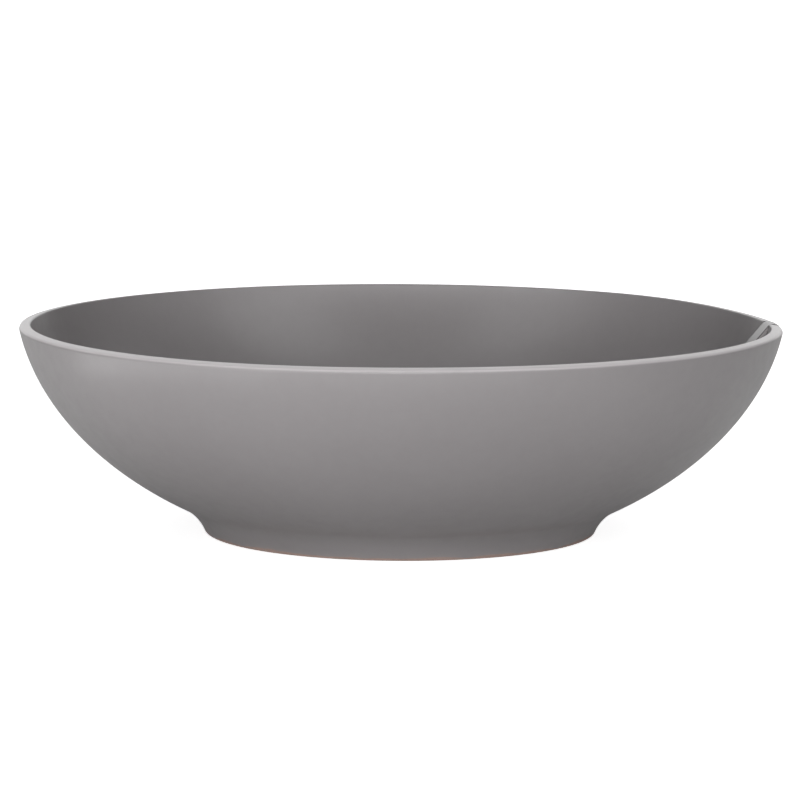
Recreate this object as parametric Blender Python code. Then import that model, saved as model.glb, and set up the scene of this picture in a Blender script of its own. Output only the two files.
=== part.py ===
"""Chip and dip server: a round stoneware bowl on a low foot, and a loose dip cup.

The cup stands on the floor of the bowl. An arm rises from the back of the cup and ends in a
tongue that lies in a notch in the bowl's rim, flush with the rim. Units are metres, +Z is up,
the origin is the centre of the foot's resting plane, and the notch is on +X.
"""
import math

import bmesh
import bpy
from mathutils import Vector

# Bowl wall: the outside and the inside are ellipses about the same centre height.
WALL_CENTRE_Z = 0.11475
OUTER_WALL = (0.18030, 0.12413)  # horizontal and vertical half axis of the outside
INNER_WALL = (0.17470, 0.11800)  # horizontal and vertical half axis of the inside
RIM_Z = 0.098
RIM_OUTER_Z = 0.0973  # the rim's top slopes down to this height at its outer edge
RIM_INNER_Z = 0.09808  # its inner edge before rounding, which brings the crest down to RIM_Z
RIM_OUTER_ROUND = 0.0016
RIM_INNER_ROUND = 0.0008
BOWL_STEPS = 72

# Bowl floor and foot ring.
FLOOR_Z = 0.0095
FLOOR_FILLET = 0.040
FLARE_TOP_Z = 0.0134  # height where the wall turns into the flare of the foot
FLARE_RADIUS = 0.0258
FOOT_INNER_RADIUS = 0.084
FOOT_ROUND = 0.0012
RECESS_Z = 0.0035
RECESS_FILLET = 0.0022

# Rim notch and the tongue that lies in it.
NOTCH_WIDTH = 0.0162
NOTCH_DEPTH = 0.008
NOTCH_CORNER = 0.0025
SILL_ROUND = 0.004
NOTCH_OVERCUT = 0.010  # how far the notch's cutter passes the bowl above and outside
NOTCH_INNER_OVERCUT = 0.020  # how far it passes the bowl inside
FIT_GAP = 0.0004
TONGUE_UNDER_Z = RIM_Z - NOTCH_DEPTH + FIT_GAP
TONGUE_BEND = 0.003
TONGUE_EDGE = 0.0006

# Dip cup: a stack of level circles between a steep front wall and a leaning back wall.
CUP_FOOT_Z = FLOOR_Z + FIT_GAP
CUP_RIM_Z = 0.070
CUP_FRONT_X = 0.028
CUP_FRONT_TOE = 0.008  # how far the front wall draws in at the foot
CUP_BACK_CENTRE_Z = 0.105
CUP_BACK_OUTER = (0.1600, 0.1084)  # half axes of the ellipse of the back wall's outside
CUP_BACK_INNER = (0.1554, 0.1030)
CUP_WALL = 0.0046
CUP_FLOOR_Z = 0.0152
CUP_WELL_TOE = 0.0172
CUP_FOOT_RING = 0.0045
CUP_RECESS = 0.0012
CUP_STEPS = 48
CUP_LEVELS = 8

# Arm between the cup's rim and the tongue.
ARM_SLOPE = math.radians(50)
TONGUE_LAND = 0.0004  # how far outside the bowl's inner wall the tongue starts to bend down
ARM_TOP_RUN = 0.0232
ARM_UNDER_RUN = 0.0225
ARM_LEAVE_Z = 0.083  # height where the underside leaves the bowl's wall
ARM_LEAVE_ROUND = 0.010
ARM_ROOT_DEPTHS = (0.0025, 0.0150)  # top and bottom of the arm's root below the cup's rim
ARM_FLARE = 0.7  # share by which the arm is wider where it meets the cup
WALL_CLEARANCE = 0.0010
NEAR = 1e-6

GLAZE_GREY = (0.262, 0.248, 0.252, 1.0)
CUP_GREY = (0.235, 0.223, 0.227, 1.0)
BOWL_ROUGHNESS = 0.32
CUP_ROUGHNESS = 0.36


def clear_scene():
    for item in list(bpy.data.objects):
        bpy.data.objects.remove(item, do_unlink=True)


def glaze(name, colour, roughness):
    material = bpy.data.materials.new(name)
    material.use_nodes = True
    shader = material.node_tree.nodes["Principled BSDF"]
    shader.inputs["Base Color"].default_value = colour
    shader.inputs["Roughness"].default_value = roughness
    shader.inputs["Metallic"].default_value = 0.0
    return material


def ellipse_x(half_axes, centre_z, z):
    """Horizontal reach of an ellipse at height z."""
    return half_axes[0] * math.sqrt(1.0 - ((centre_z - z) / half_axes[1]) ** 2)


def wall_x(half_axes, z):
    return ellipse_x(half_axes, WALL_CENTRE_Z, z)


def wall_normal(half_axes, z):
    """Unit vector square to the wall's ellipse at height z, pointing away from the ellipse."""
    across = wall_x(half_axes, z) / half_axes[0] ** 2
    upward = (z - WALL_CENTRE_Z) / half_axes[1] ** 2
    return Vector((across, upward)).normalized()


def blend(start, end, count):
    """Evenly spaced values from start to end, both included."""
    return [start + (end - start) * k / count for k in range(count + 1)]


def rounded(corners, steps=4):
    """Turn (x, z, radius) corners into an outline whose corners are arcs."""
    outline = []
    for k, (x, z, radius) in enumerate(corners):
        here = Vector((x, z))
        if radius == 0.0:
            outline.append(here)
            continue
        to_last = (Vector(corners[k - 1][:2]) - here).normalized()
        to_next = (Vector(corners[(k + 1) % len(corners)][:2]) - here).normalized()
        half = to_last.angle(to_next) / 2.0
        centre = here + (to_last + to_next).normalized() * (radius / math.sin(half))
        start = here + to_last * (radius / math.tan(half)) - centre
        end = here + to_next * (radius / math.tan(half)) - centre
        for turn in blend(0.0, 1.0, steps):
            arm = (start * (1.0 - turn) + end * turn).normalized() * radius
            outline.append(centre + arm)
    return outline


def foot_flare():
    """Concave arc from the foot's resting plane up to the wall, tangent to the wall."""
    top = Vector((wall_x(OUTER_WALL, FLARE_TOP_Z), FLARE_TOP_Z))
    centre = top + wall_normal(OUTER_WALL, FLARE_TOP_Z) * FLARE_RADIUS
    foot_angle = math.asin(-centre.y / FLARE_RADIUS)
    top_angle = math.asin((FLARE_TOP_Z - centre.y) / FLARE_RADIUS)
    points = []
    for angle in blend(foot_angle, top_angle, 5):
        x = centre.x - FLARE_RADIUS * math.cos(angle)
        z = centre.y + FLARE_RADIUS * math.sin(angle)
        points.append((x, z, 0.0))
    return points


def floor_fillet():
    """Arc from the inner wall down to the flat floor, tangent to both."""
    centre_z = FLOOR_Z + FLOOR_FILLET
    low, high = FLOOR_Z, centre_z
    for _ in range(40):
        z = (low + high) / 2.0
        normal = -wall_normal(INNER_WALL, z)
        if z + FLOOR_FILLET * normal.y > centre_z:
            high = z
        else:
            low = z
    centre_x = wall_x(INNER_WALL, z) + FLOOR_FILLET * normal.x
    start = math.atan2(-normal.y, -normal.x)
    points = []
    for angle in blend(start, -math.pi / 2.0, 5):
        x = centre_x + FLOOR_FILLET * math.cos(angle)
        z = centre_z + FLOOR_FILLET * math.sin(angle)
        points.append((x, z, 0.0))
    return points


def bowl_outline():
    """Half section of the bowl, from the axis under the floor round to the axis on the floor."""
    flare = foot_flare()
    fillet = floor_fillet()
    corners = [(0.0, RECESS_Z, 0.0), (FOOT_INNER_RADIUS, RECESS_Z, RECESS_FILLET)]
    corners.append((FOOT_INNER_RADIUS, 0.0, FOOT_ROUND))
    corners.append((flare[0][0], 0.0, FOOT_ROUND))
    corners += flare[1:]
    for z in blend(FLARE_TOP_Z, RIM_OUTER_Z, 8)[1:-1]:
        corners.append((wall_x(OUTER_WALL, z), z, 0.0))
    corners.append((wall_x(OUTER_WALL, RIM_OUTER_Z), RIM_OUTER_Z, RIM_OUTER_ROUND))
    corners.append((wall_x(INNER_WALL, RIM_Z), RIM_INNER_Z, RIM_INNER_ROUND))
    for z in blend(RIM_Z, fillet[0][1], 7)[1:-1]:
        corners.append((wall_x(INNER_WALL, z), z, 0.0))
    corners += fillet
    corners.append((0.0, FLOOR_Z, 0.0))
    return rounded(corners)


def make_object(name, mesh_builder, material, smooth_angle=35.0):
    """Finish a bmesh as an object with outward faces, one material and smooth shading."""
    bmesh.ops.remove_doubles(mesh_builder, verts=mesh_builder.verts[:], dist=NEAR)
    bmesh.ops.recalc_face_normals(mesh_builder, faces=mesh_builder.faces[:])
    mesh = bpy.data.meshes.new(name)
    mesh_builder.to_mesh(mesh)
    mesh_builder.free()
    mesh.shade_smooth()
    mesh.set_sharp_from_angle(angle=math.radians(smooth_angle))
    mesh.materials.append(material)
    item = bpy.data.objects.new(name, mesh)
    bpy.context.scene.collection.objects.link(item)
    return item


def as_cutter(item):
    item.hide_render = True
    item.display_type = "WIRE"
    return item


def combine(item, other, operation):
    modifier = item.modifiers.new(operation.lower(), "BOOLEAN")
    modifier.operation = operation
    modifier.solver = "EXACT"
    modifier.object = other
    return modifier


def turned_bowl(material):
    """Spin the half section round the Z axis."""
    builder = bmesh.new()
    verts = [builder.verts.new((p.x, 0.0, p.y)) for p in bowl_outline()]
    edges = [builder.edges.new(pair) for pair in zip(verts, verts[1:])]
    bmesh.ops.spin(
        builder,
        geom=verts + edges,
        axis=(0.0, 0.0, 1.0),
        cent=(0.0, 0.0, 0.0),
        angle=2.0 * math.pi,
        steps=BOWL_STEPS,
    )
    return make_object("chip_bowl", builder, material)


def prism(outline, width):
    """Closed bar with the given (x, z) section, centred on the XZ plane."""
    builder = bmesh.new()
    face = builder.faces.new([builder.verts.new((p.x, -width / 2.0, p.y)) for p in outline])
    grown = bmesh.ops.extrude_face_region(builder, geom=[face])
    moved = [item for item in grown["geom"] if isinstance(item, bmesh.types.BMVert)]
    bmesh.ops.translate(builder, verts=moved, vec=(0.0, width, 0.0))
    return builder


def round_side_edges(builder, width, radius, chosen):
    """Round the prism's long edges whose two ends both pass the test chosen(x, z)."""
    edges = []
    for edge in builder.edges:
        ends = [vert.co for vert in edge.verts]
        level = abs(ends[0].y - ends[1].y) < NEAR
        on_side = abs(abs(ends[0].y) - width / 2.0) < NEAR
        if level and on_side and all(chosen(co.x, co.z) for co in ends):
            edges.append(edge)
    bmesh.ops.bevel(builder, geom=edges, offset=radius, segments=3, profile=0.5, affect="EDGES")


def notch_cutter(material):
    """Slot through the rim with a rounded sill and rounded bottom corners."""
    sill_z = RIM_Z - NOTCH_DEPTH
    low_z = RIM_Z - 2.0 * NOTCH_DEPTH
    high_z = RIM_Z + NOTCH_OVERCUT
    beyond_x = OUTER_WALL[0] + NOTCH_OVERCUT
    inside_x = INNER_WALL[0] - NOTCH_INNER_OVERCUT
    outline = rounded(
        [
            (beyond_x, high_z, 0.0),
            (beyond_x, sill_z, 0.0),
            (wall_x(INNER_WALL, sill_z), sill_z, SILL_ROUND),
            (wall_x(INNER_WALL, low_z) - WALL_CLEARANCE, low_z, 0.0),
            (inside_x, low_z, 0.0),
            (inside_x, high_z, 0.0),
        ]
    )

    def under_rim(x, z):
        return z < sill_z + NEAR and x > inside_x + NEAR

    builder = prism(outline, NOTCH_WIDTH)
    round_side_edges(builder, NOTCH_WIDTH, NOTCH_CORNER, under_rim)
    return as_cutter(make_object("notch_cutter", builder, material))


def cup_circles():
    """Level circles of the cup as (front x, back x, z), from under the foot to the well's floor."""
    foot_back = ellipse_x(CUP_BACK_OUTER, CUP_BACK_CENTRE_Z, CUP_FOOT_Z)
    foot_front = CUP_FRONT_X + CUP_FRONT_TOE
    recess_z = CUP_FOOT_Z + CUP_RECESS
    ring = CUP_FOOT_RING
    circles = [
        (foot_front + ring, foot_back - ring, recess_z),
        (foot_front + ring, foot_back - ring, CUP_FOOT_Z),
        (foot_front, foot_back, CUP_FOOT_Z),
    ]
    top_z = CUP_RIM_Z - CUP_WALL / 2.0
    for k in range(1, CUP_LEVELS + 1):
        z = CUP_FOOT_Z + (top_z - CUP_FOOT_Z) * (1.0 - math.cos(math.pi / 2.0 * k / CUP_LEVELS))
        height = (z - CUP_FOOT_Z) / (CUP_RIM_Z - CUP_FOOT_Z)
        front = CUP_FRONT_X + CUP_FRONT_TOE * (1.0 - height) ** 4
        circles.append((front, ellipse_x(CUP_BACK_OUTER, CUP_BACK_CENTRE_Z, z), z))
    top_back = circles[-1][1]
    top_front = circles[-1][0]
    inner_back = ellipse_x(CUP_BACK_INNER, CUP_BACK_CENTRE_Z, top_z)
    half = (top_back - inner_back) / 2.0
    for k in range(1, 4):
        turn = math.pi * k / 4.0
        z = top_z + CUP_WALL / 2.0 * math.sin(turn)
        drift = half * (1.0 - math.cos(turn))
        circles.append((top_front + drift * CUP_WALL / (2.0 * half), top_back - drift, z))
    for k in range(CUP_LEVELS, -1, -1):
        z = CUP_FLOOR_Z + (top_z - CUP_FLOOR_Z) * (1.0 - math.cos(math.pi / 2.0 * k / CUP_LEVELS))
        height = (z - CUP_FLOOR_Z) / (CUP_RIM_Z - CUP_FLOOR_Z)
        front = CUP_FRONT_X + CUP_WALL + CUP_WELL_TOE * (1.0 - height) ** 6
        circles.append((front, ellipse_x(CUP_BACK_INNER, CUP_BACK_CENTRE_Z, z), z))
    return circles


def round_cup(material):
    """Skin the stack of circles and close both ends."""
    builder = bmesh.new()
    rings = []
    for front, back, z in cup_circles():
        centre = (front + back) / 2.0
        radius = (back - front) / 2.0
        ring = []
        for k in range(CUP_STEPS):
            angle = 2.0 * math.pi * k / CUP_STEPS
            x = centre + radius * math.cos(angle)
            y = radius * math.sin(angle)
            ring.append(builder.verts.new((x, y, z)))
        rings.append(ring)
    for lower, upper in zip(rings, rings[1:]):
        for k in range(CUP_STEPS):
            after = (k + 1) % CUP_STEPS
            builder.faces.new((lower[k], lower[after], upper[after], upper[k]))
    builder.faces.new(rings[0])
    builder.faces.new(rings[-1])
    return make_object("dip_cup", builder, material)


def cup_wall_middle(z):
    """Point in the middle of the cup's back wall at height z."""
    outer = ellipse_x(CUP_BACK_OUTER, CUP_BACK_CENTRE_Z, z)
    inner = ellipse_x(CUP_BACK_INNER, CUP_BACK_CENTRE_Z, z)
    return ((outer + inner) / 2.0, z, 0.0)


def arm_outline():
    """Section of tongue and arm: over the rim, down the slope, into the cup's wall and back under."""
    bend_x = wall_x(INNER_WALL, RIM_Z) + TONGUE_LAND
    leave_x = wall_x(INNER_WALL, ARM_LEAVE_Z) - WALL_CLEARANCE
    slope = math.tan(ARM_SLOPE)
    return rounded(
        [
            (wall_x(OUTER_WALL, TONGUE_UNDER_Z), TONGUE_UNDER_Z, 0.0),
            (wall_x(OUTER_WALL, RIM_OUTER_Z), RIM_OUTER_Z, RIM_OUTER_ROUND),
            (bend_x, RIM_INNER_Z, TONGUE_BEND),
            (bend_x - ARM_TOP_RUN, RIM_INNER_Z - ARM_TOP_RUN * slope, 0.0),
            cup_wall_middle(CUP_RIM_Z - ARM_ROOT_DEPTHS[0]),
            cup_wall_middle(CUP_RIM_Z - ARM_ROOT_DEPTHS[1]),
            (leave_x - ARM_UNDER_RUN, ARM_LEAVE_Z - ARM_UNDER_RUN * slope, 0.0),
            (leave_x, ARM_LEAVE_Z, ARM_LEAVE_ROUND),
            (wall_x(INNER_WALL, TONGUE_UNDER_Z) - FIT_GAP, TONGUE_UNDER_Z, SILL_ROUND + FIT_GAP),
        ]
    )


def arm(material):
    """Bar with the arm's section, widened towards the cup and curved round the bowl's axis."""

    def under_tongue(x, z):
        return ARM_LEAVE_Z - ARM_LEAVE_ROUND < z < TONGUE_UNDER_Z + NEAR

    def elsewhere(x, z):
        return not under_tongue(x, z)

    width = NOTCH_WIDTH - 2.0 * FIT_GAP
    outline = arm_outline()
    root_x = min(p.x for p in outline)
    flare_x = wall_x(INNER_WALL, ARM_LEAVE_Z)
    builder = prism(outline, width)
    round_side_edges(builder, width, TONGUE_EDGE, elsewhere)
    round_side_edges(builder, width, NOTCH_CORNER - FIT_GAP, under_tongue)
    bmesh.ops.triangulate(builder, faces=builder.faces[:])
    for vert in builder.verts:
        share = max(0.0, (flare_x - vert.co.x) / (flare_x - root_x))
        vert.co.y *= 1.0 + ARM_FLARE * share ** 2
        vert.co.x = math.sqrt(vert.co.x ** 2 - vert.co.y ** 2)
    return as_cutter(make_object("cup_arm", builder, material))


def main():
    clear_scene()
    bowl_glaze = glaze("bowl_glaze", GLAZE_GREY, BOWL_ROUGHNESS)
    cup_glaze = glaze("cup_glaze", CUP_GREY, CUP_ROUGHNESS)
    bowl = turned_bowl(bowl_glaze)
    combine(bowl, notch_cutter(bowl_glaze), "DIFFERENCE")
    cup = round_cup(cup_glaze)
    combine(cup, arm(cup_glaze), "UNION")


main()
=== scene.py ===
"""Chip and dip server: the finished look of the stoneware bowl and its lift-out dip cup.

The bowl is a turned grid whose columns part round the rim notch. The dip cup is one subdivision
surface: a stack of level rings with an arm drawn out of the back of its rim, ending in the
tongue that lies in the notch. The room is a white floor and soft boxes in the world. Units are
metres, +Z is up, the notch is on +X.
"""

import bpy
import bmesh
import math
from mathutils import Matrix, Vector


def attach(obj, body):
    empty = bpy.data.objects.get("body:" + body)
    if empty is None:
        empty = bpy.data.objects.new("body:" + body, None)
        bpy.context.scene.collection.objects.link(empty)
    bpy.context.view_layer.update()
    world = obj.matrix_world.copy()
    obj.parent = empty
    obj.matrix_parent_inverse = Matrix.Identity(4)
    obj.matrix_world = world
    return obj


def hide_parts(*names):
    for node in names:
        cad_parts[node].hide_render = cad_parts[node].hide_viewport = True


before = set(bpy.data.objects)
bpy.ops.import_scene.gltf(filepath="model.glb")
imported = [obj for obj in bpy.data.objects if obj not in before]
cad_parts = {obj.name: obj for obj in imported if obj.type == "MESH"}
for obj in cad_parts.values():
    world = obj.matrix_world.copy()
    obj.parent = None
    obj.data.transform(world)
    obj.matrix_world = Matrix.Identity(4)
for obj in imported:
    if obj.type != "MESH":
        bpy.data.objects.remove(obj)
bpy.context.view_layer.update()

MM = 0.001

# Bowl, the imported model's sizes, but 0.08 mm narrower outside so that it stays in its box.
WALL_CENTRE_Z = 0.11475
OUTER_WALL = (0.18022, 0.12413)
INNER_WALL = (0.17470, 0.11800)
RIM_Z = 0.098
RIM_OUTER_DROP = 0.0007  # how far the rim's top slopes down to its outer edge
RIM_INNER_RISE = 0.00008  # height of the inner edge before rounding, over the crest
RIM_OUTER_ROUND = 0.0016
RIM_INNER_ROUND = 0.0008
FLOOR_Z = 0.0095
FLOOR_FILLET = 0.040
FLARE_TOP_Z = 0.0134
FLARE_RADIUS = 0.0258
FOOT_INNER_RADIUS = 0.084
FOOT_ROUND = 0.0012
RECESS_Z = 0.0035
RECESS_FILLET = 0.0022

# Rim notch.
NOTCH_HALF = 0.0081
SILL_Z = 0.090
NOTCH_CORNER = 0.0025
NOTCH_EDGE = 0.0007
SILL_OUTER_ROUND = 0.0010
SILL_INNER_ROUND = 0.0040
FAN_Z = 0.070  # below this height the bowl's columns no longer part round the notch
FAN_ANGLE = math.radians(7.0)
FAN_END_DROP = 0.003  # the columns have parted fully this far below their own rim height
STRAIGHT_ANGLE = math.radians(5.6)  # columns nearer than this turn parallel to the notch,
STRAIGHT_BLEND = math.radians(2.0)  # fully so once they are this much nearer still
STEP_ANGLE = math.radians(1.5)
SILL_COLUMNS = 5
CORNER_COLUMNS = 7

# Painted light and shade, as vertex attributes: painted shade in the gaps beside the notch and a
# painted highlight on the rim.
GAP_SHADE_WIDTH = 0.0012
# The painted gap shade starts below the notch's sill, so it shows as two dark lines under the
# notch.
GAP_SHADE_LOW_Z = 0.080  # the painted gap shade fades in above this height, over the fade length set below
GAP_SHADE_FADE = 0.006
RIM_HIGHLIGHT_RISE = 0.0004  # height over the outer rounding's foot where the rim's painted highlight begins
RIM_HIGHLIGHT_FADE_UP = 0.0008
RIM_HIGHLIGHT_FADE_IN = 0.0007

# The photo's rim isn't level. It dips round these directions: (direction, half spread, depth).
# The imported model's rim is level, so looks and collision differ by up to this depth there.
DIP_START_Z = 0.03  # the wall below this height stays where it is
RIM_DIPS = (
    (math.radians(13.0), math.radians(33.0), 0.00120),
    (math.radians(230.0), math.radians(45.0), 0.00035),
)

# Dip cup.
CUP_FOOT_Z = 0.0099
CUP_RIM_Z = 0.070
CUP_FRONT_X = 0.028
CUP_FRONT_TOE = 0.008
CUP_BACK_CENTRE_Z = 0.105
CUP_BACK_OUTER = (0.1600, 0.1084)
CUP_BACK_INNER = (0.1554, 0.1030)
CUP_WALL = 0.0046
CUP_FLOOR_Z = 0.0152
CUP_WELL_TOE = 0.0172
CUP_FOOT_RING = 0.0045
CUP_RECESS = 0.0012
CUP_STEPS = 48


def ellipse_x(half_axes, centre_z, z):
    """Horizontal reach of an ellipse at height z."""
    return half_axes[0] * math.sqrt(1.0 - ((centre_z - z) / half_axes[1]) ** 2)


def wall_x(half_axes, z):
    return ellipse_x(half_axes, WALL_CENTRE_Z, z)


def wall_normal(half_axes, z):
    """Unit vector square to the wall's ellipse at height z, pointing away from the ellipse."""
    across = wall_x(half_axes, z) / half_axes[0] ** 2
    upward = (z - WALL_CENTRE_Z) / half_axes[1] ** 2
    return Vector((across, upward)).normalized()


def lerp(start, end, share):
    return start + (end - start) * share


def spread(start, end, count):
    """Evenly spaced values from start to end, both included."""
    return [lerp(start, end, k / count) for k in range(count + 1)]


def ease(share):
    share = min(1.0, max(0.0, share))
    return share * share * (3.0 - 2.0 * share)


def rounded(corners, steps=6):
    """Turn (x, z, radius) corners into a line whose corners are arcs."""
    line = []
    for k, (x, z, radius) in enumerate(corners):
        here = Vector((x, z))
        if radius == 0.0:
            line.append(here)
            continue
        to_last = (Vector(corners[k - 1][:2]) - here).normalized()
        to_next = (Vector(corners[k + 1][:2]) - here).normalized()
        half = to_last.angle(to_next) / 2.0
        centre = here + (to_last + to_next).normalized() * (radius / math.sin(half))
        start = here + to_last * (radius / math.tan(half)) - centre
        end = here + to_next * (radius / math.tan(half)) - centre
        for turn in spread(0.0, 1.0, steps):
            spoke = start.slerp(end, turn).normalized() * radius
            line.append(centre + spoke)
    return line


def foot_line():
    """Line from the axis under the floor, round the foot ring and up the outside to FAN_Z."""
    top = Vector((wall_x(OUTER_WALL, FLARE_TOP_Z), FLARE_TOP_Z))
    centre = top + wall_normal(OUTER_WALL, FLARE_TOP_Z) * FLARE_RADIUS
    foot_angle = math.asin(-centre.y / FLARE_RADIUS)
    top_angle = math.asin((FLARE_TOP_Z - centre.y) / FLARE_RADIUS)
    foot_x = centre.x - FLARE_RADIUS * math.cos(foot_angle)
    corners = [(x, RECESS_Z, 0.0) for x in spread(0.0, 0.075, 6)]
    corners.append((FOOT_INNER_RADIUS, RECESS_Z, RECESS_FILLET))
    corners.append((FOOT_INNER_RADIUS, 0.0, FOOT_ROUND))
    corners.append((lerp(FOOT_INNER_RADIUS, foot_x, 0.5), 0.0, 0.0))
    corners.append((foot_x, 0.0, FOOT_ROUND))
    for angle in spread(foot_angle, top_angle, 14)[2:]:
        x = centre.x - FLARE_RADIUS * math.cos(angle)
        corners.append((x, centre.y + FLARE_RADIUS * math.sin(angle), 0.0))
    for z in spread(FLARE_TOP_Z, FAN_Z, 26)[1:]:
        corners.append((wall_x(OUTER_WALL, z), z, 0.0))
    return rounded(corners)


def floor_line():
    """Line from FAN_Z down the inside, through the floor's fillet to the axis."""
    centre_z = FLOOR_Z + FLOOR_FILLET
    low, high = FLOOR_Z, centre_z
    for _ in range(40):
        z = (low + high) / 2.0
        normal = -wall_normal(INNER_WALL, z)
        if z + FLOOR_FILLET * normal.y > centre_z:
            high = z
        else:
            low = z
    centre_x = wall_x(INNER_WALL, z) + FLOOR_FILLET * normal.x
    start = math.atan2(-normal.y, -normal.x)
    line = [Vector((wall_x(INNER_WALL, level), level)) for level in spread(FAN_Z, z, 22)]
    for angle in spread(start, -math.pi / 2.0, 12)[1:]:
        x = centre_x + FLOOR_FILLET * math.cos(angle)
        line.append(Vector((x, centre_z + FLOOR_FILLET * math.sin(angle))))
    edge_x = line[-1].x
    line += [Vector((x, FLOOR_Z)) for x in spread(edge_x, 0.0, 8)[1:]]
    return line


def rim_line(top_z):
    """Line over the rim from FAN_Z outside to FAN_Z inside, for a rim at height top_z."""
    share = (RIM_Z - top_z) / (RIM_Z - SILL_Z)
    outer_round = lerp(RIM_OUTER_ROUND, SILL_OUTER_ROUND, share)
    inner_round = lerp(RIM_INNER_ROUND, SILL_INNER_ROUND, share)
    inner_x = wall_x(INNER_WALL, top_z)
    outer_z = top_z - lerp(RIM_OUTER_DROP, 0.0, share)
    inner_z = top_z + lerp(RIM_INNER_RISE, 0.0, share)
    outside = spread(FAN_Z, outer_z - 1.6 * outer_round, 12)[1:]
    inside = spread(top_z - 1.3 * inner_round, FAN_Z, 12)[:-1]
    corners = [(wall_x(OUTER_WALL, z), z, 0.0) for z in outside]
    corners.append((wall_x(OUTER_WALL, outer_z), outer_z, outer_round))
    corners.append((inner_x, inner_z, inner_round))
    corners += [(wall_x(INNER_WALL, z), z, 0.0) for z in inside]
    return rounded(corners, 8)


def notch_columns():
    """Half of the notch seen from outside, from its middle out: (lateral, rim height, painted
    shade).
    """
    flat_half = NOTCH_HALF - NOTCH_CORNER
    columns = [(y, SILL_Z, 0.0) for y in spread(0.0, flat_half, SILL_COLUMNS)]
    for angle in spread(-90.0, 0.0, CORNER_COLUMNS)[1:]:
        y = flat_half + NOTCH_CORNER * math.cos(math.radians(angle))
        z = SILL_Z + NOTCH_CORNER + NOTCH_CORNER * math.sin(math.radians(angle))
        columns.append((y, z, 0.0))
    for z in spread(SILL_Z + NOTCH_CORNER, RIM_Z - NOTCH_EDGE, 6)[1:]:
        columns.append((NOTCH_HALF, z, ease((z - SILL_Z) / (RIM_Z - SILL_Z))))
    for angle in spread(180.0, 90.0, 6)[1:]:
        y = NOTCH_HALF + NOTCH_EDGE + NOTCH_EDGE * math.cos(math.radians(angle))
        z = RIM_Z - NOTCH_EDGE + NOTCH_EDGE * math.sin(math.radians(angle))
        columns.append((y, z, 1.0))
    edge_y = NOTCH_HALF + NOTCH_EDGE
    last_y = OUTER_WALL[0] * math.sin(FAN_ANGLE)
    for share in spread(0.0, 1.0, 10)[1:]:
        y = lerp(edge_y, last_y, share ** 1.5)
        columns.append((y, RIM_Z, max(0.0, 1.0 - (y - edge_y) / GAP_SHADE_WIDTH)))
    return columns


def bowl_columns():
    """All columns round the bowl: (angle low down, lateral at the rim or None, height, painted
    shade).
    """
    half = notch_columns()
    lengths = [0.0]
    for (y0, z0, _), (y1, z1, _) in zip(half, half[1:]):
        lengths.append(lengths[-1] + math.hypot(y1 - y0, z1 - z0))
    corner = lengths[SILL_COLUMNS + CORNER_COLUMNS]
    spread_half = []
    for length, (y, z, edge) in zip(lengths, half):
        if length <= corner:
            low_y = NOTCH_HALF * length / corner
        else:
            share = (length - corner) / (lengths[-1] - corner)
            low_y = lerp(NOTCH_HALF, OUTER_WALL[0] * math.sin(FAN_ANGLE), share)
        spread_half.append((math.asin(low_y / OUTER_WALL[0]), y, z, edge))
    columns = [(-angle, -y, z, edge) for angle, y, z, edge in reversed(spread_half[1:])]
    columns += spread_half
    count = round((2.0 * math.pi - 2.0 * FAN_ANGLE) / STEP_ANGLE)
    for angle in spread(FAN_ANGLE, 2.0 * math.pi - FAN_ANGLE, count)[1:-1]:
        columns.append((angle, None, RIM_Z, 0.0))
    return columns


def dip(x, y, z):
    """How far the rim has sunk in firing at this place."""
    angle = math.atan2(y, x)
    depth = 0.0
    for direction, half, most in RIM_DIPS:
        away = abs((angle - direction + math.pi) % (2.0 * math.pi) - math.pi)
        depth += most * ease(1.0 - away / half)
    return depth * ease((z - DIP_START_Z) / (RIM_Z - DIP_START_Z))


def column_point(column, point):
    """Place of one section point on a column, bent round the notch near the rim."""
    angle, lateral, _, _ = column
    x, z = point.x, point.y
    low_y = x * math.sin(angle)
    y = low_y
    if lateral is not None:
        share = min(1.0, max(0.0, (z - FAN_Z) / (column[2] - FAN_END_DROP - FAN_Z)))
        near = ease((STRAIGHT_ANGLE - abs(angle)) / STRAIGHT_BLEND)
        reach = lerp(x * lateral / wall_x(OUTER_WALL, column[2]), lateral, near)
        y = lerp(low_y, reach, share)
        return Vector((math.sqrt(x * x - y * y), y, z))
    return Vector((x * math.cos(angle), y, z))


def finish_mesh(builder, name, material, smooth_angle=50.0):
    bmesh.ops.recalc_face_normals(builder, faces=builder.faces[:])
    mesh = bpy.data.meshes.new(name)
    builder.to_mesh(mesh)
    builder.free()
    mesh.shade_smooth()
    mesh.set_sharp_from_angle(angle=math.radians(smooth_angle))
    mesh.materials.append(material)
    piece = bpy.data.objects.new(name, mesh)
    bpy.context.scene.collection.objects.link(piece)
    return piece


def rim_highlight_share(point, top_z):
    """Share of the rim's painted highlight here: 1 on its top and outer edge, 0 on the walls."""
    if top_z < RIM_Z - RIM_OUTER_ROUND:
        return 0.0
    inner_x = wall_x(INNER_WALL, RIM_Z)
    start_z = RIM_Z - RIM_OUTER_DROP - RIM_OUTER_ROUND + RIM_HIGHLIGHT_RISE
    upward = ease((point.y - start_z) / RIM_HIGHLIGHT_FADE_UP)
    return upward * ease((point.x - inner_x) / RIM_HIGHLIGHT_FADE_IN)


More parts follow.
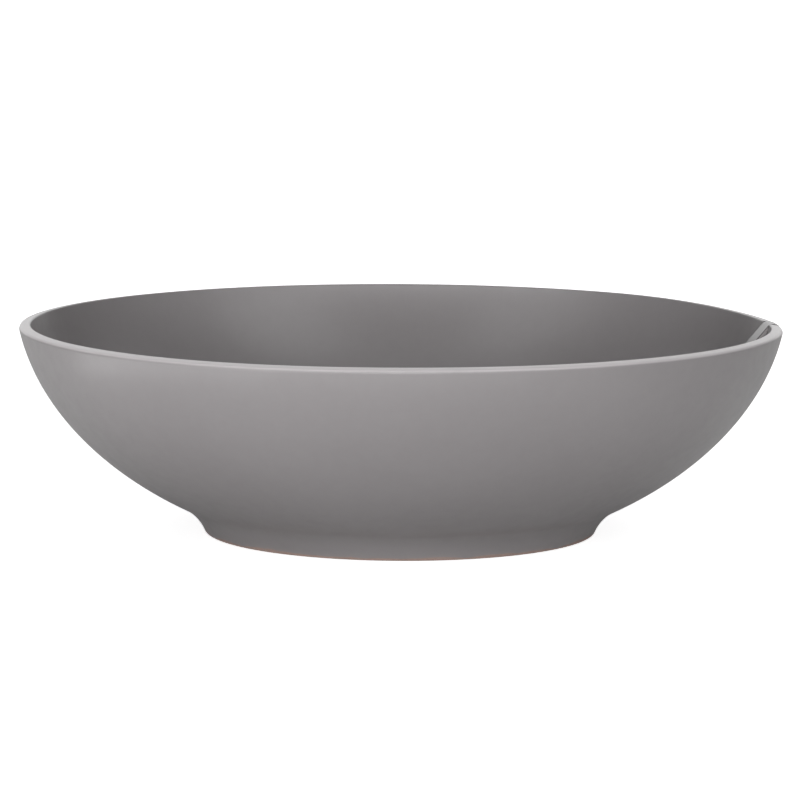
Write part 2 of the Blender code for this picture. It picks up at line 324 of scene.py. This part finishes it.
def build_bowl(material):
    """Turn the section round the axis, column by column, and close it at both poles."""
    builder = bmesh.new()
    gap_shade_layer = builder.verts.layers.float.new("edge")
    highlight_layer = builder.verts.layers.float.new("rim")
    under = foot_line()
    inside = floor_line()
    rows = []
    for column in bowl_columns():
        line = under[1:] + rim_line(column[2]) + inside[:-1]
        row = []
        for point in line:
            place = column_point(column, point)
            place.z -= dip(place.x, place.y, place.z)
            vert = builder.verts.new(place)
            # Painted shade in the gaps beside the notch, on its cheeks and the rim next to them.
            vert[gap_shade_layer] = column[3] * ease((point.y - GAP_SHADE_LOW_Z) / GAP_SHADE_FADE)
            # Painted highlight on the rim's top and outer edge.
            vert[highlight_layer] = rim_highlight_share(point, column[2])
            row.append(vert)
        rows.append(row)
    under_pole = builder.verts.new((0.0, 0.0, RECESS_Z))
    floor_pole = builder.verts.new((0.0, 0.0, FLOOR_Z))
    for k, row in enumerate(rows):
        after = rows[(k + 1) % len(rows)]
        builder.faces.new((under_pole, after[0], row[0]))
        builder.faces.new((floor_pole, row[-1], after[-1]))
        for j in range(len(row) - 1):
            builder.faces.new((row[j], after[j], after[j + 1], row[j + 1]))
    return finish_mesh(builder, "stoneware_bowl", material)


def cup_outer(z):
    """Front and back reach of the cup's outside at height z."""
    height = (z - CUP_FOOT_Z) / (CUP_RIM_Z - CUP_FOOT_Z)
    front = CUP_FRONT_X + CUP_FRONT_TOE * (1.0 - height) ** 4
    return front, ellipse_x(CUP_BACK_OUTER, CUP_BACK_CENTRE_Z, z)


def cup_inner(z):
    """Front and back reach of the cup's inside at height z."""
    height = (z - CUP_FLOOR_Z) / (CUP_RIM_Z - CUP_FLOOR_Z)
    front = CUP_FRONT_X + CUP_WALL + CUP_WELL_TOE * (1.0 - height) ** 6
    return front, ellipse_x(CUP_BACK_INNER, CUP_BACK_CENTRE_Z, z)


# Heights of the cup's outer rings. The arm is drawn out of the last three rows of faces.
CUP_OUTER_LEVELS = (
    0.0118, 0.0148, 0.0195, 0.0260, 0.0335, 0.0415, 0.0495, 0.0565, 0.0620, 0.0665,
)
CUP_INNER_LEVELS = (0.0640, 0.0560, 0.0470, 0.0380, 0.0300, 0.0235, 0.0190, 0.0165)
ARM_ROWS = 3


def cup_rings():
    """Rings as (front x, back x, z) from the middle of the underside round to the well's floor.

    Also returns the number of the ring along the crest of the rim.
    """
    foot_front, foot_back = cup_outer(CUP_FOOT_Z)
    ring = CUP_FOOT_RING
    soft = 0.7 * MM
    recess_z = CUP_FOOT_Z + CUP_RECESS
    middle = (foot_front + foot_back) / 2.0
    radius = (foot_back - foot_front) / 2.0
    rings = []
    for inset in (0.80, 0.45):
        rings.append((middle - radius * (1.0 - inset), middle + radius * (1.0 - inset), recess_z))
    rings.append((foot_front + ring + soft, foot_back - ring - soft, recess_z))
    rings.append((foot_front + ring, foot_back - ring, recess_z - 0.4 * soft))
    rings.append((foot_front + ring, foot_back - ring, CUP_FOOT_Z + 0.3 * soft))
    rings.append((foot_front + ring - soft, foot_back - ring + soft, CUP_FOOT_Z))
    rings.append((foot_front + 1.6 * soft, foot_back - 1.6 * soft, CUP_FOOT_Z))
    rings.append((foot_front + 0.2 * soft, foot_back - 0.2 * soft, CUP_FOOT_Z + 0.4 * soft))
    for z in CUP_OUTER_LEVELS:
        front, back = cup_outer(z)
        rings.append((front, back, z))
    top_z = CUP_OUTER_LEVELS[-1]
    front, back = cup_outer(top_z)
    inner_front, inner_back = cup_inner(top_z)
    rings.append((lerp(front, inner_front, 0.08), lerp(back, inner_back, 0.02), 0.0688))
    rings.append((lerp(front, inner_front, 0.34), lerp(back, inner_back, 0.28), 0.0700))
    crest = len(rings) - 1
    rings.append((lerp(front, inner_front, 0.70), lerp(back, inner_back, 0.66), 0.0700))
    rings.append((lerp(front, inner_front, 0.98), lerp(back, inner_back, 0.96), 0.0685))
    for z in CUP_INNER_LEVELS:
        front, back = cup_inner(z)
        rings.append((front, back, z))
    floor_front, floor_back = cup_inner(CUP_FLOOR_Z + 0.6 * MM)
    middle = (floor_front + floor_back) / 2.0
    radius = (floor_back - floor_front) / 2.0
    for inset, rise in ((0.12, 0.25), (0.35, 0.05), (0.75, 0.0)):
        reach = radius * (1.0 - inset)
        rings.append((middle - reach, middle + reach, CUP_FLOOR_Z + rise * MM))
    return rings, crest


# Stations of the arm from the cup to the tongue's tip, in millimetres:
# top x, top z, underside x, underside z, half width, how tight its edges are from 0 to 1.
ARM_STATIONS = (
    (151.0, 72.4, 149.2, 61.8, 13.2, 0.15),
    (155.6, 77.3, 156.6, 70.6, 10.6, 0.45),
    (161.0, 83.4, 163.6, 78.9, 8.2, 0.8),
    (166.9, 90.5, 167.1, 83.4, 7.75, 1.0),
    (170.6, 94.9, 168.4, 86.1, 7.7, 1.0),
    (172.0, 96.55, 169.6, 88.4, 7.7, 1.0),
    (173.1, 97.6, 170.9, 89.8, 7.7, 1.0),
    (174.6, 97.93, 172.8, 90.4, 7.7, 1.0),
    (176.2, 97.66, 174.6, 90.4, 7.7, 1.0),
    (177.5, 97.32, 175.9, 90.4, 7.7, 1.0),
    (178.1, 96.5, 176.6, 90.4, 7.7, 1.0),
    (177.9, 95.0, 176.7, 90.6, 7.7, 1.0),
)
TONGUE_SINK = 0.72  # share of the rim's dip that the tongue follows, so it stands a little proud
SINK_START_Z = 0.070
SINK_RISE = 0.020

# Painted highlights and shade on the arm, chosen to match the photo rather than known of the real
# glaze.
TONGUE_HIGHLIGHT = 0.06  # share of the rim's painted highlight on the tongue's top
SIDE_HIGHLIGHT = 0.9  # the same painted highlight on the tongue's sides
SLOPE_SHADE = 0.28  # share of the dark painted shade on the slope below the tongue

TOP_EDGE = 0.60  # distance of the crease-holding rows from the tongue's top edges
LOW_EDGE = 1.50  # the same along the underside


def station_loop(station):
    """Fourteen places round the arm, over the top from -Y to +Y and back along the underside."""
    top_x, top_z, low_x, low_z, half, tight = station
    inner = lerp(half / 2.0, half - TOP_EDGE, tight)
    inner_low = lerp(half / 2.0, half - LOW_EDGE, tight)
    top = Vector((top_x, top_z))
    low = Vector((low_x, low_z))
    height = (top - low).length
    near_top = low.lerp(top, lerp(2.0 / 3.0, 1.0 - TOP_EDGE / height, tight))
    near_low = low.lerp(top, lerp(1.0 / 3.0, LOW_EDGE / height, tight))
    loop = [(top, y) for y in (-half, -inner, 0.0, inner, half)]
    loop += [(near_top, half), (near_low, half)]
    loop += [(low, y) for y in (half, inner_low, 0.0, -inner_low, -half)]
    loop += [(near_low, -half), (near_top, -half)]
    return [bent_round(point, y) for point, y in loop]


def bent_round(point, y):
    """Millimetre (x, z) point moved sideways by y along the bowl's curve, in metres."""
    return Vector((math.sqrt(point.x ** 2 - y * y), y, point.y)) * MM


def build_cup(material):
    """Cup and arm as one closed cage, subdivided."""
    builder = bmesh.new()
    gap_shade_layer = builder.verts.layers.float.new("edge")
    highlight_layer = builder.verts.layers.float.new("rim")
    rings, crest = cup_rings()
    grid = []
    for front, back, z in rings:
        middle = (front + back) / 2.0
        radius = (back - front) / 2.0
        ring = []
        for k in range(CUP_STEPS):
            angle = 2.0 * math.pi * k / CUP_STEPS
            place = (middle + radius * math.cos(angle), radius * math.sin(angle), z)
            ring.append(builder.verts.new(place))
        grid.append(ring)
    low_row = crest - ARM_ROWS
    for j in range(len(grid) - 1):
        for k in range(CUP_STEPS):
            after = (k + 1) % CUP_STEPS
            behind = k in (0, 1, CUP_STEPS - 2, CUP_STEPS - 1)
            if behind and low_row <= j < crest:
                continue
            builder.faces.new((grid[j][k], grid[j][after], grid[j + 1][after], grid[j + 1][k]))
    for ring, z in ((grid[0], rings[0][2]), (grid[-1], rings[-1][2])):
        front, back, _ = rings[0] if ring is grid[0] else rings[-1]
        middle = (front + back) / 2.0
        pole = builder.verts.new((middle, 0.0, z))
        for k in range(CUP_STEPS):
            builder.faces.new((pole, ring[k], ring[(k + 1) % CUP_STEPS]))
    across = [-2, -1, 0, 1, 2]
    loop = [grid[crest][k] for k in across]
    loop += [grid[crest - 1][2], grid[crest - 2][2]]
    loop += [grid[low_row][-k] for k in across]
    loop += [grid[crest - 2][-2], grid[crest - 1][-2]]
    for station in ARM_STATIONS:
        places = station_loop(station)
        fresh = [builder.verts.new(place) for place in places]
        for k, vert in enumerate(fresh):
            slope = ease((174.0 - station[0]) / 3.0) * ease((station[0] - 150.0) / 12.0)
            if k in (0, 4):
                # Painted shade along the tongue's top edges, beside the gaps in the notch.
                vert[gap_shade_layer] = station[5]
            elif k < 4:
                # Painted shade on the slope below the tongue.
                vert[gap_shade_layer] = SLOPE_SHADE * slope
            if k < 5:
                # Painted highlight on the tongue's top.
                vert[highlight_layer] = TONGUE_HIGHLIGHT * (1.0 - slope) * ease((station[0] - 160.0) / 10.0)
            elif k in (5, 13):
                # Painted highlight on the tongue's sides.
                vert[highlight_layer] = SIDE_HIGHLIGHT * ease((station[0] - 160.0) / 8.0)
        for k in range(len(loop)):
            after = (k + 1) % len(loop)
            builder.faces.new((loop[k], loop[after], fresh[after], fresh[k]))
        loop = fresh
    cap = [
        loop[0:5],
        [loop[13], None, None, None, loop[5]],
        [loop[12], None, None, None, loop[6]],
        loop[11:6:-1],
    ]
    for row in (1, 2):
        for k in (1, 2, 3):
            top = cap[0][k].co
            low = cap[3][k].co
            height = cap[row][0].co.z
            share = (height - low.z) / (top.z - low.z)
            cap[row][k] = builder.verts.new(low.lerp(top, share))
    for row in range(3):
        for k in range(4):
            upper, lower = cap[row], cap[row + 1]
            builder.faces.new((upper[k], upper[k + 1], lower[k + 1], lower[k]))
    piece = finish_mesh(builder, "stoneware_dip_cup", material, 180.0)
    smooth = piece.modifiers.new("glazed_skin", "SUBSURF")
    smooth.levels = 2
    smooth.render_levels = 2
    graph = bpy.context.evaluated_depsgraph_get()
    mesh = bpy.data.meshes.new_from_object(piece.evaluated_get(graph))
    piece.modifiers.clear()
    piece.data = mesh
    mesh.shade_smooth()
    for vert in mesh.vertices:
        share = TONGUE_SINK * ease((vert.co.z - SINK_START_Z) / SINK_RISE)
        vert.co.z -= share * dip(*vert.co)
    return piece


RIM_HIGHLIGHT_GAIN = 2.05  # how much lighter the rim's painted highlight is
GAP_SHADE_DARKER = (0.32, 0.31, 0.31)  # share of the thick glaze's colour that is left in the painted gap shade
GAP_SHADE_FULL = 0.6  # value of the edge attribute from which the painted shade is fully dark
CLAY_FADE = 0.0003
CLAY_WANDER = 0.0030
CLAY_ROUGHNESS = 0.85
GLOSS_SPREAD = 0.08


def colour(red, green, blue):
    return (red, green, blue, 1.0)


def glaze_material(name, thin, thick, clay_z, roughness):
    """Satin stoneware glaze over a clay body that stays bare below clay_z."""
    material = bpy.data.materials.new(name)
    material.use_nodes = True
    nodes = material.node_tree.nodes
    links = material.node_tree.links
    shader = nodes["Principled BSDF"]
    place = nodes.new("ShaderNodeTexCoord")

    def noise(scale, detail, rough=0.5):
        node = nodes.new("ShaderNodeTexNoise")
        node.inputs["Scale"].default_value = scale
        node.inputs["Detail"].default_value = detail
        node.inputs["Roughness"].default_value = rough
        links.new(place.outputs["Object"], node.inputs["Vector"])
        return node.outputs["Fac"]

    def remap(value, low, high, to_low, to_high):
        node = nodes.new("ShaderNodeMapRange")
        node.inputs["From Min"].default_value = low
        node.inputs["From Max"].default_value = high
        node.inputs["To Min"].default_value = to_low
        node.inputs["To Max"].default_value = to_high
        links.new(value, node.inputs["Value"])
        return node.outputs["Result"]

    def maths(operation, first, second):
        node = nodes.new("ShaderNodeMath")
        node.operation = operation
        for socket, value in zip(node.inputs, (first, second)):
            if isinstance(value, float):
                socket.default_value = value
            else:
                links.new(value, socket)
        return node.outputs["Value"]

    def mix(share, first, second):
        node = nodes.new("ShaderNodeMix")
        node.data_type = "RGBA"
        links.new(share, node.inputs["Factor"])
        for name_, value in (("A", first), ("B", second)):
            socket = next(s for s in node.inputs if s.name == name_ and s.type == "RGBA")
            if isinstance(value, tuple):
                socket.default_value = value
            else:
                links.new(value, socket)
        return next(s for s in node.outputs if s.type == "RGBA")

    broad = noise(14.0, 2.0)
    mottle = noise(160.0, 4.0, 0.6)
    pool = maths("ADD", maths("MULTIPLY", broad, 0.6), maths("MULTIPLY", mottle, 0.4))
    tone = mix(remap(pool, 0.2, 0.8, -0.5, 1.5), thin, thick)
    # Painted highlight: a lighter glaze colour on the rim's top and outer edge and on the tongue.
    rim_highlight_node = nodes.new("ShaderNodeAttribute")
    rim_highlight_node.attribute_name = "rim"
    light = colour(thin[0] * RIM_HIGHLIGHT_GAIN, thin[1] * RIM_HIGHLIGHT_GAIN, thin[2] * RIM_HIGHLIGHT_GAIN)
    tone = mix(rim_highlight_node.outputs["Fac"], tone, light)
    # Painted shade: a darker colour in the gaps round the notch, along the tongue's edges and on
    # the slope below it.
    edge = nodes.new("ShaderNodeAttribute")
    edge.attribute_name = "edge"
    dark = colour(*(part * share for part, share in zip(thick, GAP_SHADE_DARKER)))
    tone = mix(remap(edge.outputs["Fac"], 0.0, GAP_SHADE_FULL, 0.0, 1.0), tone, dark)

    split = nodes.new("ShaderNodeSeparateXYZ")
    links.new(place.outputs["Object"], split.inputs["Vector"])
    wander = maths("MULTIPLY", maths("SUBTRACT", noise(55.0, 3.0), 0.5), CLAY_WANDER)
    level = maths("ADD", split.outputs["Z"], wander)
    bare = remap(level, clay_z + CLAY_FADE, clay_z, 0.0, 1.0)
    clay_grain = noise(900.0, 3.0)
    clay = mix(clay_grain, colour(0.30, 0.215, 0.185), colour(0.42, 0.315, 0.275))
    links.new(mix(bare, tone, clay), shader.inputs["Base Color"])

    gloss = remap(mottle, 0.0, 1.0, roughness - GLOSS_SPREAD, roughness + GLOSS_SPREAD)
    dull = maths("MULTIPLY", bare, CLAY_ROUGHNESS)
    links.new(maths("MAXIMUM", gloss, dull), shader.inputs["Roughness"])
    shader.inputs["IOR"].default_value = 1.52
    shader.inputs["Coat Weight"].default_value = 0.15
    shader.inputs["Coat Roughness"].default_value = 0.18

    ripple = noise(38.0, 1.0)
    peel = noise(420.0, 2.0)
    height = maths("ADD", maths("MULTIPLY", ripple, 1.0), maths("MULTIPLY", peel, 0.05))
    height = maths("ADD", height, maths("MULTIPLY", maths("MULTIPLY", clay_grain, bare), 0.6))
    bump = nodes.new("ShaderNodeBump")
    bump.inputs["Strength"].default_value = 0.35
    bump.inputs["Distance"].default_value = 0.0004
    links.new(height, bump.inputs["Height"])
    links.new(bump.outputs["Normal"], shader.inputs["Normal"])
    return material


def plain_material(name, tone, roughness):
    material = bpy.data.materials.new(name)
    material.use_nodes = True
    shader = material.node_tree.nodes["Principled BSDF"]
    shader.inputs["Base Color"].default_value = tone
    shader.inputs["Roughness"].default_value = roughness
    return material


# Floor: a disc round the object, a ring of bounce cards round it, and the wide rest.
FLOOR_RADII = (0.0, 0.30, 0.90, 20.0)
FLOOR_ALBEDO = 0.88
FLOOR_WHITE = 0.80  # how white the floor looks even in full shade
CARD_STRENGTHS = ((-90.0, -30.0, 1.35), (-30.0, 30.0, 0.80))
FLOOR_STEP = 15.0

# Soft boxes: direction from the front, positive to the right, half width, lowest and highest
# elevation, all in degrees, and radiance. The strengths began as a least-squares fit to the
# photo's brightness and were then changed.
ALL_ROUND = 400.0
SOFT_BOXES = (
    (0.0, 25.0, -10.0, 14.0, 6.30),
    (-42.0, 16.0, -10.0, 14.0, 5.60),
    (42.5, 17.5, -10.0, 25.0, 1.30),
    (80.0, 20.0, -10.0, 25.0, 0.20),
    (180.0, 30.0, -10.0, 25.0, 1.15),
    (-46.0, 18.0, 25.0, 60.0, 0.95),
    (48.0, 20.0, 25.0, 60.0, 1.40),
    (180.0, 60.0, 25.0, 60.0, 0.90),
    (0.0, ALL_ROUND, 60.0, 100.0, 0.45),
)
BOX_SOFTNESS = 3.0
AMBIENT = 0.01
BACKDROP = 1.0  # what the camera sees of the world, in place of the soft boxes


def front_and_right():
    """Level unit vectors towards the camera and to the picture's right."""
    front = Vector((math.sin(CAMERA_AZIMUTH), -math.cos(CAMERA_AZIMUTH), 0.0))
    return front, Vector((math.cos(CAMERA_AZIMUTH), math.sin(CAMERA_AZIMUTH), 0.0))


def floor_material(name, card):
    """Matt white paper that bounces card more light than it gets, and looks white to a camera."""
    material = plain_material(name, colour(FLOOR_ALBEDO, FLOOR_ALBEDO, FLOOR_ALBEDO), 0.9)
    nodes = material.node_tree.nodes
    links = material.node_tree.links
    shader = nodes["Principled BSDF"]
    shader.inputs["Specular IOR Level"].default_value = 0.0
    shader.inputs["Emission Color"].default_value = colour(1.0, 1.0, 1.0)
    seen = nodes.new("ShaderNodeLightPath")
    glow = nodes.new("ShaderNodeMapRange")
    glow.inputs["To Min"].default_value = card
    glow.inputs["To Max"].default_value = FLOOR_WHITE
    links.new(seen.outputs["Is Camera Ray"], glow.inputs["Value"])
    links.new(glow.outputs["Result"], shader.inputs["Emission Strength"])
    return material


def build_floor():
    """Wide level floor just under the foot ring."""
    front, right = front_and_right()
    builder = bmesh.new()
    count = round(360.0 / FLOOR_STEP)
    rings = []
    for radius in FLOOR_RADII[1:]:
        ring = []
        for k in range(count):
            angle = math.radians(k * FLOOR_STEP)
            spoke = front * math.cos(angle) + right * math.sin(angle)
            ring.append(builder.verts.new(spoke * radius))
        rings.append(ring)
    builder.faces.new(rings[0])
    for inner, outer in zip(rings, rings[1:]):
        for k in range(count):
            after = (k + 1) % count
            face = builder.faces.new((inner[k], inner[after], outer[after], outer[k]))
            middle = ((k + 0.5) * FLOOR_STEP + 180.0) % 360.0 - 180.0
            for number, (start, end, _) in enumerate(CARD_STRENGTHS, 1):
                if inner is rings[0] and start < middle < end:
                    face.material_index = number
    bmesh.ops.recalc_face_normals(builder, faces=builder.faces[:])
    mesh = bpy.data.meshes.new("floor")
    builder.to_mesh(mesh)
    builder.free()
    mesh.materials.append(floor_material("floor", 0.0))
    for number, (_, _, strength) in enumerate(CARD_STRENGTHS, 1):
        mesh.materials.append(floor_material("floor_card_%d" % number, strength))
    floor = bpy.data.objects.new("floor", mesh)
    bpy.context.scene.collection.objects.link(floor)


def build_light():
    """Soft boxes round the table as bright windows in the world, hidden from the camera."""
    world = bpy.data.worlds.new("studio")
    world.use_nodes = True
    nodes = world.node_tree.nodes
    links = world.node_tree.links
    background = nodes["Background"]
    background.inputs["Color"].default_value = (1.0, 1.0, 1.0, 1.0)

    def maths(operation, *values):
        node = nodes.new("ShaderNodeMath")
        node.operation = operation
        for socket, value in zip(node.inputs, values):
            if isinstance(value, float):
                socket.default_value = value
            else:
                links.new(value, socket)
        return node.outputs["Value"]

    def fall(value, limit):
        """1 below the limit, 0 above it, with a soft edge."""
        node = nodes.new("ShaderNodeMapRange")
        node.interpolation_type = "SMOOTHSTEP"
        node.inputs["From Min"].default_value = limit - BOX_SOFTNESS
        node.inputs["From Max"].default_value = limit + BOX_SOFTNESS
        node.inputs["To Min"].default_value = 1.0
        node.inputs["To Max"].default_value = 0.0
        links.new(value, node.inputs["Value"])
        return node.outputs["Result"]

    place = nodes.new("ShaderNodeTexCoord")
    split = nodes.new("ShaderNodeSeparateXYZ")
    links.new(place.outputs["Generated"], split.inputs["Vector"])
    across, deep, up = split.outputs
    front, right = front_and_right()
    to_front = maths("ADD", maths("MULTIPLY", across, front.x), maths("MULTIPLY", deep, front.y))
    to_right = maths("ADD", maths("MULTIPLY", across, right.x), maths("MULTIPLY", deep, right.y))
    azimuth = maths("DEGREES", maths("ARCTAN2", to_right, to_front))
    elevation = maths("DEGREES", maths("ARCSINE", up))
    total = AMBIENT
    for middle, half, low, high, radiance in SOFT_BOXES:
        turned = maths("ABSOLUTE", maths("SUBTRACT", azimuth, middle))
        away = maths("MINIMUM", turned, maths("SUBTRACT", 360.0, turned))
        level = maths("ABSOLUTE", maths("SUBTRACT", elevation, (low + high) / 2.0))
        window = maths("MULTIPLY", fall(away, half), fall(level, (high - low) / 2.0))
        total = maths("ADD", total, maths("MULTIPLY", window, radiance))
    seen = nodes.new("ShaderNodeLightPath")
    chosen = nodes.new("ShaderNodeMix")
    chosen.data_type = "FLOAT"
    links.new(seen.outputs["Is Camera Ray"], chosen.inputs["Factor"])
    links.new(total, chosen.inputs["A"])
    chosen.inputs["B"].default_value = BACKDROP
    links.new(chosen.outputs["Result"], background.inputs["Strength"])
    bpy.context.scene.world = world
    settings = bpy.context.scene.view_settings
    settings.view_transform = "Standard"
    settings.look = "None"
    settings.exposure = 0.0
    settings.gamma = 1.0


# Camera: where it stands as seen from the middle of the rim, and where that middle falls. The
# values come from a least-squares fit at a chosen distance of 12 bowl radii.
CAMERA_DISTANCE = 2.136
CAMERA_ELEVATION = math.radians(6.436)
CAMERA_AZIMUTH = math.radians(-4.6)
CAMERA_ROLL = math.radians(0.299)
CAMERA_PITCH = math.radians(-0.9745)
CAMERA_YAW = math.radians(-0.0118)
CAMERA_LENS = 205.39


def build_camera():
    back = Vector(
        (
            math.sin(CAMERA_AZIMUTH) * math.cos(CAMERA_ELEVATION),
            -math.cos(CAMERA_AZIMUTH) * math.cos(CAMERA_ELEVATION),
            math.sin(CAMERA_ELEVATION),
        )
    )
    place = Vector((0.0, 0.0, RIM_Z)) + back * CAMERA_DISTANCE
    right = Vector((math.cos(CAMERA_AZIMUTH), math.sin(CAMERA_AZIMUTH), 0.0))
    facing = Matrix((right, back.cross(right), back)).transposed()
    turn = Matrix.Rotation(CAMERA_ROLL, 3, "Z") @ Matrix.Rotation(CAMERA_PITCH, 3, "X")
    turn = turn @ Matrix.Rotation(-CAMERA_YAW, 3, "Y")
    camera = bpy.data.cameras.new("camera")
    camera.lens = CAMERA_LENS
    camera.sensor_width = 36.0
    camera.clip_start = 0.01
    camera.clip_end = 100.0
    item = bpy.data.objects.new("camera", camera)
    item.matrix_world = Matrix.Translation(place) @ (facing @ turn).to_4x4()
    bpy.context.scene.collection.objects.link(item)
    bpy.context.scene.camera = item


def dress(piece, node):
    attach(piece, node)
    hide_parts(node)


ROUGHNESS = 0.34
BOWL_CLAY_Z = 0.0012
CUP_CLAY_Z = 0.0106
BOWL_THIN, BOWL_THICK = colour(0.268, 0.254, 0.258), colour(0.252, 0.238, 0.242)
CUP_THIN, CUP_THICK = colour(0.258, 0.244, 0.248), colour(0.242, 0.229, 0.233)

bowl_glaze = glaze_material("bowl_glaze", BOWL_THIN, BOWL_THICK, BOWL_CLAY_Z, ROUGHNESS)
cup_glaze = glaze_material("cup_glaze", CUP_THIN, CUP_THICK, CUP_CLAY_Z, ROUGHNESS)
dress(build_bowl(bowl_glaze), "chip_bowl")
dress(build_cup(cup_glaze), "dip_cup")
build_floor()
build_light()
build_camera()
